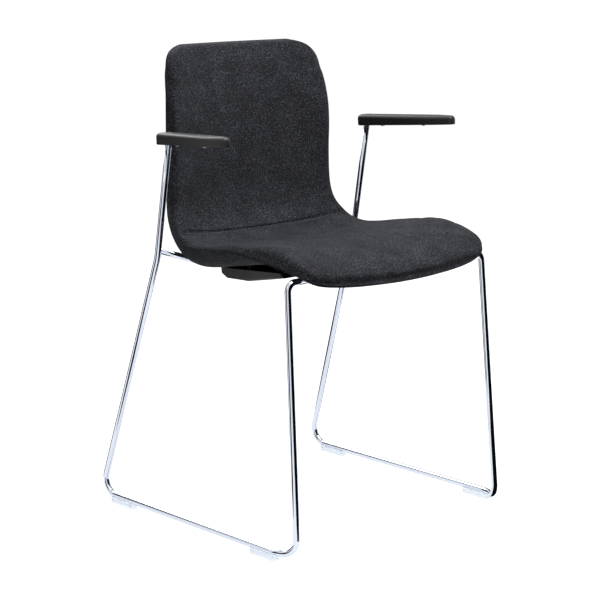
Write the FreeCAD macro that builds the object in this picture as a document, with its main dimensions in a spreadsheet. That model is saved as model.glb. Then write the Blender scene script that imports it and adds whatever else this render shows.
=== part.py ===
import FreeCAD, Part
import math
import os
import Sketcher
from FreeCAD import Placement, Rotation, Vector

# Stacking visitor chair on a sled base of one bent rod size.
# Frame: +Z up, the sitter faces -Y, +X is the sitter's left.
# The origin is on the floor below the middle of the chair. Sizes in millimetres.

doc = FreeCAD.newDocument("sled_base_visitor_chair")
sheet = doc.addObject("Spreadsheet::Sheet", "sizes")

SIZES = {
    # bent rod frame
    "rod_diameter": 11.0,
    "runner_axis_height": 13.0,
    "runner_half_spread": 255.0,
    "runner_rear_y": 258.0,
    "runner_turn_in_y": -209.0,
    "front_foot_x": 237.5,
    "front_foot_y": -245.0,
    "front_top_x": 226.2,
    "front_top_y": -210.0,
    "front_bar_rise": 12.6,
    "rear_joint_x": 232.2,
    "rear_joint_y": 116.7,
    "rear_joint_height": 454.4,
    "arm_top_x": 231.4,
    "arm_top_y": 81.0,
    "arm_top_height": 661.0,
    "rear_floor_bend": 28.0,
    "runner_turn_bend": 45.0,
    "front_foot_bend": 24.0,
    "front_top_bend": 16.0,
    "joint_bend": 120.0,
    "front_bar_half": 188.0,
    # cross bar behind the seat
    "rear_bar_half": 229.5,
    "rear_bar_end_height": 466.0,
    "rear_bar_end_y": 114.5,
    "rear_bar_height": 430.0,
    "rear_bar_flat_half": 118.0,
    "rear_bar_bend": 70.0,
    # side profile of the moulded seat, measured on its parting line
    "seat_rear_y": 43.2,
    "seat_rear_height": 446.8,
    "seat_slope": 10.0,
    "seat_flat_length": 90.0,
    "crown_radius": 565.0,
    "crown_angle": 16.0,
    "nose_radius": 63.0,
    "nose_angle": 49.0,
    "bend_radius": 107.0,
    "back_slope": 88.0,
    "back_flat_length": 143.0,
    "top_radius": 430.0,
    "top_angle": 16.0,
    "front_corner_radius": 40.0,
    "top_corner_radius": 50.0,
    "front_bow": 20.0,
    "top_bow": 6.0,
    "bow_reach": 170.0,
    "lip_overhang": 10.0,
    "front_edge_round": 14.0,
    "rear_edge_round": 60.0,
    "row_spacing": 48.0,
    "cover_thickness": 1.5,
    "core_thickness": 5.0,
    "core_inset": 12.0,
    # bosses, plates and screws that carry the seat
    "boss_diameter": 18.0,
    "boss_hole_clearance": 0.5,
    "boss_spacing": 170.0,
    "rear_boss_y": 93.0,
    "front_boss_y": -183.0,
    "plate_thickness": 3.0,
    "plate_width": 32.0,
    "plate_margin": 14.0,
    "insert_diameter": 9.0,
    "insert_length": 9.0,
    "screw_diameter": 6.0,
    "screw_clearance": 0.3,
    "screw_length": 11.0,
    "screw_head_diameter": 11.0,
    "screw_head_height": 3.2,
    # stacking tray under the seat
    "tray_half_width": 135.0,
    "tray_rear_y": 67.0,
    "tray_front_y": -92.0,
    "tray_top_rear": 432.0,
    "tray_top_front": 442.5,
    "tray_depth_rear": 17.0,
    "tray_tip_height": 434.5,
    "tray_lip": 5.0,
    "tray_nose_length": 20.0,
    "tray_belly_length": 72.0,
    "tray_belly_rise": 2.0,
    "tray_heel_length": 16.0,
    "tray_heel_inset": 1.8,
    "tray_wall": 3.0,
    "tray_edge": 5.0,
    "tray_boss_diameter": 14.0,
    "tray_boss_spacing": 190.0,
    "tray_rear_boss_y": 33.0,
    "tray_front_boss_y": -41.0,
    "small_screw_diameter": 4.0,
    "small_screw_length": 13.0,
    "small_head_diameter": 8.0,
    "small_head_height": 2.4,
    # arm pads
    "pad_base_drop": 9.5,
    "pad_thickness": 20.5,
    "pad_tip_thickness": 16.0,
    "pad_length": 193.0,
    "pad_rear_overhang": 17.0,
    "pad_outer": 20.0,
    "pad_inner": 14.0,
    "pad_kink": 150.0,
    "pad_tip_outer": 6.0,
    "pad_tip_inner": 9.0,
    "pad_rear_corner": 15.0,
    "pad_tip_corner": 6.5,
    "pad_crown_round": 7.0,
    "pad_base_round": 2.0,
    "pad_toe_out": 9.5,
    "pad_rise": 4.0,
    "arm_plate_length": 150.0,
    "arm_plate_width": 20.0,
    "arm_plate_thickness": 3.0,
    "arm_plate_rear": 10.0,
    "arm_plate_outset": 2.0,
    "arm_screw_first": 35.0,
    "arm_screw_pitch": 90.0,
    # glides under the runners
    "glide_length": 60.0,
    "glide_width": 14.5,
    "glide_height": 11.0,
    "glide_round": 3.0,
    "rear_glide_y": 194.0,
    "front_glide_y": -185.0,
}

# Stations of the moulded seat from the front rim to the top rim. Each column is one
# measure: half width to the seam, rise of the seam above the middle, upholstery in
# front of the parting line in the middle and at the edge, padding behind it in the
# middle and at the edge, and how far the core stands forward of the parting line.
COLUMNS = ("width", "rise", "front_mid", "front_edge", "rear_mid", "rear_edge", "lift")
STATIONS = {
    "rim": (221.0, 2.0, 12.0, 12.0, 12.0, 12.0, 4.5),
    "nose": (221.0, 2.0, 13.0, 29.0, 3.5, 3.5, 4.5),
    "lip": (226.0, 8.0, 18.0, 27.0, 5.5, 10.0, 2.0),
    "thigh": (232.0, 21.0, 21.0, 14.0, 12.0, 27.0, 0.0),
    "seat": (231.0, 23.5, 22.0, 9.5, 14.0, 33.0, 0.0),
    "hollow": (212.0, 30.0, 22.0, 6.0, 15.0, 44.0, 0.0),
    "bend": (198.0, 30.0, 22.0, 7.0, 16.0, 50.0, 0.0),
    "waist": (189.0, 28.0, 22.0, 16.0, 13.0, 24.0, 0.0),
    "back": (188.0, 28.0, 22.0, 18.0, 12.0, 14.0, 0.0),
    "shoulder": (186.5, 30.0, 22.0, 18.0, 12.0, 12.0, 0.0),
    "top": (171.0, 20.0, 20.0, 17.0, 9.0, 9.0, 0.0),
}
for station, measures in STATIONS.items():
    for column, measure in zip(COLUMNS, measures):
        SIZES[f"{station}_{column}"] = measure

for row, (alias, value) in enumerate(SIZES.items(), start=1):
    sheet.set(f"A{row}", alias)
    sheet.set(f"B{row}", str(value))
    sheet.setAlias(f"B{row}", alias)
doc.recompute()


def size(alias):
    return float(sheet.get(alias))


SIDES = {"left": 1, "right": -1}
ENDS = {"front": -1, "rear": 1}
parts = []


def keep(piece, name):
    piece.Label = name
    parts.append(piece)
    return piece


def bind(piece, **expressions):
    for prop, expression in expressions.items():
        piece.setExpression(prop, expression)


# Sketch, pad and revolve helpers

def new_sketch(body, name, role):
    sketch = body.newObject("Sketcher::SketchObject", name)
    plane = next(p for p in body.Origin.OriginFeatures if p.Role == role)
    sketch.AttachmentSupport = [(plane, "")]
    sketch.MapMode = "FlatFace"
    return sketch


def outline(sketch, corners):
    """Closed outline whose corners are each held by two expressions."""
    count = len(corners)
    ring = [Vector(10 * math.cos(2 * math.pi * k / count), 10 * math.sin(2 * math.pi * k / count), 0)
            for k in range(count)]
    for k in range(count):
        sketch.addGeometry(Part.LineSegment(ring[k], ring[(k + 1) % count]), False)
    for k in range(count):
        sketch.addConstraint(Sketcher.Constraint("Coincident", k, 2, (k + 1) % count, 1))
    for k, (across, up) in enumerate(corners):
        for kind, axis, expression, start in (("DistanceX", -2, across, ring[k].x),
                                              ("DistanceY", -1, up, ring[k].y)):
            if expression == "0":
                sketch.addConstraint(Sketcher.Constraint("PointOnObject", k, 1, axis))
                continue
            index = sketch.addConstraint(Sketcher.Constraint(kind, -1, 1, k, 1, start))
            sketch.setExpression(f"Constraints[{index}]", expression)


def turned(name, corners):
    """Turned piece: its half outline in the XZ plane revolved about Z."""
    body = doc.addObject("PartDesign::Body", name)
    sketch = new_sketch(body, f"{name}_outline", "XZ_Plane")
    outline(sketch, corners)
    turn = body.newObject("PartDesign::Revolution", f"{name}_turn")
    turn.Profile = (sketch, [""])
    turn.ReferenceAxis = (sketch, ["V_Axis"])
    turn.Angle = 360
    sketch.Visibility = False
    return body


def edges_where(shape, test):
    return [f"Edge{k}" for k, edge in enumerate(shape.Edges, start=1) if test(edge)]


def rounded(body, name, radius, test):
    """Fillet on the edges of the body's tip that pass the test."""
    doc.recompute()
    tip = body.Tip
    chosen = edges_where(tip.Shape, test)
    fillet = body.newObject("PartDesign::Fillet", name)
    fillet.Base = (tip, chosen)
    fillet.setExpression("Radius", radius)
    return fillet


def copies(name, pattern, places):
    """Group of equal separate solids, one at each place."""
    group = doc.addObject("Part::Feature", name)
    solids = []
    for place in places:
        solid = pattern.Shape.copy()
        solid.Placement = place.multiply(pattern.Shape.Placement)
        solids.append(solid)
    group.Shape = Part.makeCompound(solids)
    return keep(group, name)


def cut(name, base, tools):
    """Base with each tool taken out of it in turn."""
    for number, tool in enumerate(tools, start=1):
        last = number == len(tools)
        result = doc.addObject("Part::Cut", name if last else f"{name}_cut_{number}")
        result.Base = base
        result.Tool = tool
        base = result
    return base


# Side profile of the seat: tangent arcs and straight runs

def turn_of(heading):
    return Vector(0, math.cos(heading), math.sin(heading))


def side_profile():
    """Runs of the parting line from front rim to top rim as (length, turn) pairs."""
    nose_turn = -math.radians(size("nose_angle"))
    crown_turn = -math.radians(size("crown_angle"))
    bend_turn = math.radians(size("seat_slope") + size("back_slope"))
    top_turn = -math.radians(size("top_angle"))
    return [
        (-nose_turn * size("nose_radius"), nose_turn),
        (-crown_turn * size("crown_radius"), crown_turn),
        (size("seat_flat_length"), 0.0),
        (bend_turn * size("bend_radius"), bend_turn),
        (size("back_flat_length"), 0.0),
        (-top_turn * size("top_radius"), top_turn),
    ]


RUNS = side_profile()
JOINTS = [sum(length for length, _ in RUNS[:k]) for k in range(len(RUNS) + 1)]
profile_length = JOINTS[-1]
bend_start = JOINTS[3]
first_heading = -math.radians(size("seat_slope")) - sum(turn for _, turn in RUNS[:3])


def walk(travel):
    """Point and heading on the profile, walked from the front rim as if it began at zero."""
    if travel < 0:
        return turn_of(first_heading) * travel, first_heading
    point = Vector(0, 0, 0)
    heading = first_heading
    for length, turn in RUNS:
        step = min(max(travel, 0.0), length)
        part_turn = turn * step / length
        chord = step
        if abs(part_turn) > 1e-9:
            chord = 2 * step / part_turn * math.sin(part_turn / 2)
        point = point + turn_of(heading + part_turn / 2) * chord
        heading += part_turn
        travel -= length
    return point, heading


seat_rear = Vector(0, size("seat_rear_y"), size("seat_rear_height"))
profile_shift = seat_rear - walk(bend_start)[0]
front_rim_height = (walk(0.0)[0] + profile_shift).z
front_bar_height = front_rim_height + size("front_bar_rise")


# Bent rod: straight runs joined by tangent arcs

def bent_path(points, radii):
    """Wire through the corner points with one bend radius for each inner corner."""
    edges = []
    start = points[0]
    for k, radius in enumerate(radii, start=1):
        corner = points[k]
        before = (points[k - 1] - corner).normalize()
        after = (points[k + 1] - corner).normalize()
        half = before.getAngle(after) / 2
        reach = radius / math.tan(half)
        enter = corner + before * reach
        leave = corner + after * reach
        middle = (before + after).normalize()
        centre = corner + middle * (radius / math.sin(half))
        edges.append(Part.LineSegment(start, enter).toShape())
        edges.append(Part.Arc(enter, centre - middle * radius, leave).toShape())
        start = leave
    edges.append(Part.LineSegment(start, points[-1]).toShape())
    return Part.Wire(edges)


def rod_along(name, points, radii):
    """Round rod of the frame's diameter swept along its bent axis."""
    path = doc.addObject("Part::Feature", f"{name}_axis")
    path.Shape = bent_path(points, radii)
    section = doc.addObject("Part::Circle", f"{name}_section")
    bind(section, Radius="sizes.rod_diameter / 2")
    run = points[1] - points[0]
    section.Placement = Placement(points[0], Rotation(Vector(0, 0, 1), run))
    sweep = doc.addObject("Part::Sweep", name)
    sweep.Sections = [section]
    sweep.Spine = (path, [f"Edge{k}" for k in range(1, len(path.Shape.Edges) + 1)])
    sweep.Solid = True
    return sweep


def side_points(sign):
    return [
        Vector(sign * size("arm_top_x"), size("arm_top_y"), size("arm_top_height")),
        Vector(sign * size("rear_joint_x"), size("rear_joint_y"), size("rear_joint_height")),
        Vector(sign * size("runner_half_spread"), size("runner_rear_y"), size("runner_axis_height")),
        Vector(sign * size("runner_half_spread"), size("runner_turn_in_y"), size("runner_axis_height")),
        Vector(sign * size("front_foot_x"), size("front_foot_y"), size("runner_axis_height")),
        Vector(sign * size("front_top_x"), size("front_top_y"), front_bar_height),
        Vector(sign * size("front_bar_half"), size("front_top_y"), front_bar_height),
    ]


side_radii = [size("joint_bend"), size("rear_floor_bend"), size("runner_turn_bend"),
              size("front_foot_bend"), size("front_top_bend")]
side_frame = {}
for side, sign in SIDES.items():
    side_frame[side] = keep(rod_along(f"side_frame_{side}", side_points(sign), side_radii),
                            f"side_frame_{side}")

# Cross bars: the front one joins the ends of the side frames, the rear one dips
# below the seat and is coped onto the rear legs
front_bar = doc.addObject("Part::Cylinder", "front_cross_bar")
bind(front_bar, Radius="sizes.rod_diameter / 2", Height="2 * sizes.front_bar_half")
front_bar.Placement = Placement(Vector(-size("front_bar_half"), size("front_top_y"), front_bar_height),
                                Rotation(Vector(0, 1, 0), 90))
keep(front_bar, "front_cross_bar")

rear_bar_points = [
    Vector(-size("rear_bar_half"), size("rear_bar_end_y"), size("rear_bar_end_height")),
    Vector(-size("rear_bar_flat_half"), size("rear_joint_y"), size("rear_bar_height")),
    Vector(size("rear_bar_flat_half"), size("rear_joint_y"), size("rear_bar_height")),
    Vector(size("rear_bar_half"), size("rear_bar_end_y"), size("rear_bar_end_height")),
]
rear_rod = rod_along("rear_bar_rod", rear_bar_points, [size("rear_bar_bend")] * 2)
rear_bar = keep(cut("rear_cross_bar", rear_rod, side_frame.values()), "rear_cross_bar")


# Moulded seat: surfaces over the side profile

STATION_TRAVEL = {
    "rim": 0.0,
    "nose": JOINTS[1],
    "lip": JOINTS[1] + 0.28 * (JOINTS[2] - JOINTS[1]),
    "thigh": JOINTS[1] + 0.63 * (JOINTS[2] - JOINTS[1]),
    "seat": JOINTS[1] + 0.96 * (JOINTS[2] - JOINTS[1]),
    "hollow": JOINTS[3],
    "bend": (JOINTS[3] + JOINTS[4]) / 2,
    "waist": JOINTS[4],
    "back": (JOINTS[4] + JOINTS[5]) / 2,
    "shoulder": JOINTS[5],
    "top": JOINTS[6],
}
TRAVELS = list(STATION_TRAVEL.values())


def measure_at(column, travel):
    """Smooth value of one station column at a travel along the profile."""
    values = [size(f"{station}_{column}") for station in STATION_TRAVEL]
    slopes = []
    for k in range(len(values)):
        low = max(k - 1, 0)
        high = min(k + 1, len(values) - 1)
        slopes.append((values[high] - values[low]) / (TRAVELS[high] - TRAVELS[low]))
    travel = min(max(travel, 0.0), profile_length)
    k = max(j for j in range(len(TRAVELS) - 1) if TRAVELS[j] <= travel)
    span = TRAVELS[k + 1] - TRAVELS[k]
    f = (travel - TRAVELS[k]) / span
    rise = values[k + 1] - values[k]
    start = slopes[k] * span
    end = slopes[k + 1] * span
    return values[k] + f * start + f * f * (3 * rise - 2 * start - end) + f ** 3 * (start + end - 2 * rise)


# Shares of the edge rounding, and the share of the full depth there
FRONT_EDGE = ((0.0, 0.0), (0.06, 0.6), (0.35, 1.0), (1.0, 1.0))
REAR_EDGE = ((0.0, 0.0), (0.05, 0.38), (0.35, 0.87), (1.0, 1.0))
INNER_SHARES = (0.72, 0.38, 0.0)
# Shares of a rounded corner: travel from the rim, narrowing of the outline, depth
CORNER_ROWS = ((0.0, 1.0, 0.0), (0.03, 0.8, 0.55), (0.09, 0.52, 1.0), (0.25, 0.22, 1.0), (0.57, 0.03, 1.0))
LIP_SHARES = (0.0, 0.8, 1.0, 0.6)


def profile_rows(inset):
    """Rows of a surface from front rim to top rim as (travel, narrowing, depth share)."""
    front_corner = size("front_corner_radius") - inset
    top_corner = size("top_corner_radius") - inset
    start = inset + front_corner
    stop = profile_length - inset - top_corner
    count = round((stop - start) / size("row_spacing"))
    rows = [(inset + s * front_corner, loss * front_corner, depth) for s, loss, depth in CORNER_ROWS]
    rows += [(start + (stop - start) * k / count, 0.0, 1.0) for k in range(count + 1)]
    rows += [(profile_length - inset - s * top_corner, loss * top_corner, depth)
             for s, loss, depth in reversed(CORNER_ROWS)]
    return rows


def bowed(travel, share):
    """Travel of a point beside the middle: both rims bow towards the middle of the seat."""
    front = max(0.0, 1 - travel / size("bow_reach"))
    top = max(0.0, 1 - (profile_length - travel) / size("bow_reach"))
    return travel + share ** 2 * (size("front_bow") * front - size("top_bow") * top)


def seat_surface(kind, inset):
    """One surface of the seat: kind is front, rear, core_front or core_rear."""
    padded = kind in ("front", "rear")
    front = kind == "front"
    edge_round = size("front_edge_round" if front else "rear_edge_round") - inset
    grid = []
    for number, (travel, narrowing, end_share) in enumerate(profile_rows(inset)):
        full = measure_at("width", travel)
        half = full - inset - narrowing
        side = [(half - s * edge_round, depth) for s, depth in (FRONT_EDGE if front else REAR_EDGE)]
        side += [(s * (half - edge_round), 1.0) for s in INNER_SHARES]
        row = []
        for across, edge_share in side:
            share = across / full
            along = bowed(travel, share)
            depth = measure_at("rise", travel) * share ** 2.2
            if kind == "rear" and number < len(LIP_SHARES):
                along -= (size("lip_overhang") - inset) * LIP_SHARES[number] * edge_share
            if padded:
                middle = measure_at(f"{kind}_mid", travel)
                edge = measure_at(f"{kind}_edge", travel)
                bulk = middle + (edge - middle) * share ** (2.2 if front else 4) - inset
                depth += bulk * min(edge_share, end_share) * (1 if front else -1)
            else:
                depth += measure_at("lift", travel)
                depth -= size("core_thickness") if kind == "core_rear" else 0.0
            point, heading = walk(along)
            normal = turn_of(heading + math.pi / 2)
            row.append(point + profile_shift + normal * depth + Vector(across, 0, 0))
        grid.append([Vector(-p.x, p.y, p.z) for p in row[:-1]] + row[::-1])
    return smooth_surface(grid)


def smooth_surface(grid):
    """Cubic surface that starts and ends on the grid's rim and follows its inner points."""
    spans = [len(grid) - 3, len(grid[0]) - 3]
    knots = [[float(k) for k in range(count + 1)] for count in spans]
    repeats = [[4] + [1] * (count - 1) + [4] for count in spans]
    surface = Part.BSplineSurface()
    surface.buildFromPolesMultsKnots(grid, repeats[0], repeats[1], knots[0], knots[1], False, False, 3, 3)
    return surface


def rim_edges(surface):
    u_first, u_last, v_first, v_last = surface.bounds()
    return [surface.uIso(u_first).toShape(), surface.uIso(u_last).toShape(),
            surface.vIso(v_first).toShape(), surface.vIso(v_last).toShape()]


def layer(upper, lower):
    """Closed solid between two seat surfaces, its rim closed by ruled faces."""
    faces = [upper.toShape(), lower.toShape()]
    for top_edge, low_edge in zip(rim_edges(upper), rim_edges(lower)):
        faces.append(Part.makeRuledSurface(top_edge, low_edge))
    shell = Part.makeShell(faces)
    shell.sewShape(0.0002)
    solid = Part.makeSolid(shell)
    if solid.Volume < 0:
        solid.reverse()
    return solid


def shape_part(name, shape):
    piece = doc.addObject("Part::Feature", name)
    piece.Shape = shape
    return keep(piece, name)


cover = size("cover_thickness")
front_outer = seat_surface("front", 0.0)
front_inner = seat_surface("front", cover)
core_front = seat_surface("core_front", size("core_inset"))
core_rear = seat_surface("core_rear", size("core_inset"))
rear_inner = seat_surface("rear", cover)
rear_outer = seat_surface("rear", 0.0)

# Bosses moulded on the core reach down to the plates and to the tray
up = Vector(0, 0, 1)
plate_top = {"front": front_bar_height + size("plate_thickness") / 2,
             "rear": size("rear_bar_height") + size("plate_thickness") / 2}
boss_y = {"front": size("front_boss_y"), "rear": size("rear_boss_y")}
tray_boss_y = {"front": size("tray_front_boss_y"), "rear": size("tray_rear_boss_y")}
tray_slope = (size("tray_top_rear") - size("tray_top_front")) / (size("tray_rear_y") - size("tray_front_y"))
tray_normal = Vector(0, -tray_slope, 1).normalize()


def tray_top(y):
    return size("tray_top_front") + tray_slope * (y - size("tray_front_y"))


boss_feet = [Vector(sign * size("boss_spacing") / 2, boss_y[end], plate_top[end])
             for end in ENDS for sign in SIDES.values()]
tray_feet = [Vector(sign * size("tray_boss_spacing") / 2, tray_boss_y[end], tray_top(tray_boss_y[end]))
             for end in ENDS for sign in SIDES.values()]
core_slab = layer(core_front, core_rear)


def core_reach(foot, axis):
    """Distance along a boss axis from its foot to the middle of the core."""
    inside = Part.makeLine(foot, foot + axis * 90.0).common(core_slab)
    return (inside.BoundBox.Center - foot).Length


def pegs(feet, diameter, axis, length=0.0):
    return [Part.makeCylinder(diameter / 2, length or core_reach(foot, axis), foot, axis) for foot in feet]


bosses = pegs(boss_feet, size("boss_diameter"), up) + pegs(tray_feet, size("tray_boss_diameter"), tray_normal)
play = 2 * size("boss_hole_clearance")
openings = pegs(boss_feet, size("boss_diameter") + play, up)
openings += pegs(tray_feet, size("tray_boss_diameter") + play, tray_normal)
bores = pegs(boss_feet, size("insert_diameter"), up, size("insert_length"))
bores += pegs(tray_feet, size("small_screw_diameter"), tray_normal, size("small_screw_length") - size("tray_wall"))
shape_part("inner_shell", core_slab.fuse(bosses).cut(bores))
shape_part("rear_foam", layer(core_rear, rear_inner).cut(openings))
shape_part("rear_cover", layer(rear_inner, rear_outer).cut(openings))
shape_part("seat_foam", layer(front_inner, core_front))
shape_part("front_cover", layer(front_outer, front_inner))

# Threaded inserts in the bosses, and the screws that hold the seat
insert = turned("insert_pattern", [
    ("(sizes.screw_diameter + sizes.screw_clearance) / 2", "0"),
    ("sizes.insert_diameter / 2", "0"),
    ("sizes.insert_diameter / 2", "sizes.insert_length"),
    ("(sizes.screw_diameter + sizes.screw_clearance) / 2", "sizes.insert_length"),
])


def screw_pattern(name, prefix):
    head = f"sizes.{prefix}head_diameter / 2"
    shank = f"sizes.{prefix}screw_diameter / 2" if prefix == "small_" else "sizes.screw_diameter / 2"
    length = "sizes.small_screw_length" if prefix == "small_" else "sizes.screw_length"
    return turned(name, [
        ("0", f"-sizes.{prefix}head_height"),
        (f"{head} * 0.7", f"-sizes.{prefix}head_height"),
        (head, f"-sizes.{prefix}head_height * 0.4"),
        (head, "0"),
        (shank, "0"),
        (shank, length),
        ("0", length),
    ])


seat_screw = screw_pattern("seat_screw_pattern", "screw_")
small_screw = screw_pattern("small_screw_pattern", "small_")
doc.recompute()
copies("threaded_inserts", insert, [Placement(foot, Rotation()) for foot in boss_feet])
below_plate = Vector(0, 0, -size("plate_thickness"))
copies("seat_screws", seat_screw, [Placement(foot + below_plate, Rotation()) for foot in boss_feet])

# Plates welded to the cross bars under the four bosses
bar_y = {"front": size("front_top_y"), "rear": size("rear_joint_y")}
bar_of = {"front": front_bar, "rear": rear_bar}
for end, forward in ENDS.items():
    inner_y = boss_y[end] - forward * size("plate_margin")
    low_y = min(inner_y, bar_y[end])
    for side, sign in SIDES.items():
        name = f"mount_plate_{end}_{side}"
        blank = doc.addObject("Part::Box", f"{name}_blank")
        bind(blank, Length="sizes.plate_width", Height="sizes.plate_thickness")
        blank.Width = abs(inner_y - bar_y[end])
        blank.Placement = Placement(
            Vector(sign * size("boss_spacing") / 2 - size("plate_width") / 2, low_y,
                   plate_top[end] - size("plate_thickness")), Rotation())
        hole = doc.addObject("Part::Cylinder", f"{name}_hole")
        bind(hole, Radius="sizes.screw_diameter / 2 + sizes.screw_clearance", Height="3 * sizes.plate_thickness")
        hole.Placement = Placement(Vector(sign * size("boss_spacing") / 2, boss_y[end],
                                          plate_top[end] - 2 * size("plate_thickness")), Rotation())
        keep(cut(name, blank, [hole, bar_of[end]]), name)

# Glides: clear blocks pushed onto the runners, hollowed by the rod
for side, sign in SIDES.items():
    for end in ENDS:
        name = f"glide_{end}_{side}"
        block = doc.addObject("Part::Box", f"{name}_block")
        bind(block, Length="sizes.glide_width", Width="sizes.glide_length", Height="sizes.glide_height")
        block.Placement = Placement(
            Vector(sign * size("runner_half_spread") - size("glide_width") / 2,
                   size(f"{end}_glide_y") - size("glide_length") / 2, 0), Rotation())
        doc.recompute()
        soft = doc.addObject("Part::Fillet", f"{name}_rounded")
        soft.Base = block
        radius = size("glide_round")
        upright = [k for k, edge in enumerate(block.Shape.Edges, start=1)
                   if abs(edge.tangentAt(edge.FirstParameter).z) > 0.9]
        soft.Edges = [(k, radius, radius) for k in upright]
        keep(cut(name, soft, [side_frame[side]]), name)

# Stacking tray: side outline padded across the seat, opened from above, with a post
# for each screw that reaches up to the boss over it
tray = doc.addObject("PartDesign::Body", "tray_body")
tray_sketch = new_sketch(tray, "tray_side_outline", "YZ_Plane")
outline(tray_sketch, [
    ("sizes.tray_rear_y", "sizes.tray_top_rear"),
    ("sizes.tray_front_y", "sizes.tray_top_front"),
    ("sizes.tray_front_y - sizes.tray_lip", "sizes.tray_tip_height"),
    ("sizes.tray_front_y + sizes.tray_nose_length", "sizes.tray_tip_height - sizes.tray_lip"),
    ("sizes.tray_rear_y - sizes.tray_belly_length", "sizes.tray_top_rear - sizes.tray_depth_rear + sizes.tray_belly_rise"),
    ("sizes.tray_rear_y - sizes.tray_heel_length", "sizes.tray_top_rear - sizes.tray_depth_rear"),
    ("sizes.tray_rear_y - sizes.tray_heel_inset", "sizes.tray_top_rear - sizes.tray_depth_rear * 0.6"),
])
tray_pad = tray.newObject("PartDesign::Pad", "tray_block")
tray_pad.Profile = tray_sketch
tray_pad.Midplane = True
tray_pad.setExpression("Length", "2 * sizes.tray_half_width")
tray_sketch.Visibility = False
rounded(tray, "tray_lower_edges", "sizes.tray_edge",
        lambda edge: abs(abs(edge.BoundBox.XMin) - size("tray_half_width")) < 0.01
        and edge.BoundBox.XLength < 0.01 and edge.CenterOfMass.z < tray_top(edge.CenterOfMass.y) - 1.0)
doc.recompute()
tray_block = doc.addObject("Part::Feature", "tray_closed_block")
tray_block.Shape = tray.Shape
cavity_sketch = new_sketch(tray, "tray_cavity_outline", "YZ_Plane")
outline(cavity_sketch, [
    ("sizes.tray_rear_y - sizes.tray_wall", "sizes.tray_top_rear + sizes.tray_lip"),
    ("sizes.tray_front_y + sizes.tray_wall", "sizes.tray_top_front + sizes.tray_lip"),
    ("sizes.tray_front_y + sizes.tray_wall", "sizes.tray_tip_height"),
    ("sizes.tray_front_y + sizes.tray_nose_length", "sizes.tray_tip_height - sizes.tray_lip + sizes.tray_wall"),
    ("sizes.tray_rear_y - sizes.tray_belly_length",
     "sizes.tray_top_rear - sizes.tray_depth_rear + sizes.tray_belly_rise + sizes.tray_wall"),
    ("sizes.tray_rear_y - sizes.tray_heel_length - sizes.tray_wall",
     "sizes.tray_top_rear - sizes.tray_depth_rear + sizes.tray_wall"),
    ("sizes.tray_rear_y - sizes.tray_wall", "sizes.tray_top_rear - sizes.tray_depth_rear * 0.6"),
])
cavity = tray.newObject("PartDesign::Pocket", "tray_cavity")
cavity.Profile = cavity_sketch
cavity.Midplane = True
cavity.setExpression("Length", "2 * (sizes.tray_half_width - sizes.tray_wall)")
cavity_sketch.Visibility = False
doc.recompute()
posts = []
sinks = []
for number, foot in enumerate(tray_feet, start=1):
    post = doc.addObject("Part::Cylinder", f"tray_post_{number}")
    bind(post, Radius="sizes.tray_boss_diameter / 2", Height="2 * sizes.tray_depth_rear")
    post.Placement = Placement(foot - tray_normal * 2 * size("tray_depth_rear"), Rotation(up, tray_normal))
    standing = doc.addObject("Part::Common", f"tray_post_{number}_trimmed")
    standing.Base = post
    standing.Tool = tray_block
    posts.append(standing)
    sink = doc.addObject("Part::Cylinder", f"tray_sink_{number}")
    bind(sink, Radius="sizes.small_head_diameter / 2 + sizes.screw_clearance",
         Height="2 * sizes.tray_depth_rear")
    sink.Placement = Placement(foot - tray_normal * (size("tray_wall") + 2 * size("tray_depth_rear")),
                               Rotation(up, tray_normal))
    hole = doc.addObject("Part::Cylinder", f"tray_hole_{number}")
    bind(hole, Radius="sizes.small_screw_diameter / 2 + sizes.screw_clearance", Height="3 * sizes.tray_wall")
    hole.Placement = Placement(foot - tray_normal * 2 * size("tray_wall"), Rotation(up, tray_normal))
    sinks += [sink, hole]
joined = doc.addObject("Part::MultiFuse", "tray_with_posts")
joined.Shapes = [tray] + posts
keep(cut("stack_tray", joined, sinks), "stack_tray")
tray_places = [Placement(foot - tray_normal * size("tray_wall"), Rotation(up, tray_normal)) for foot in tray_feet]

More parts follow.
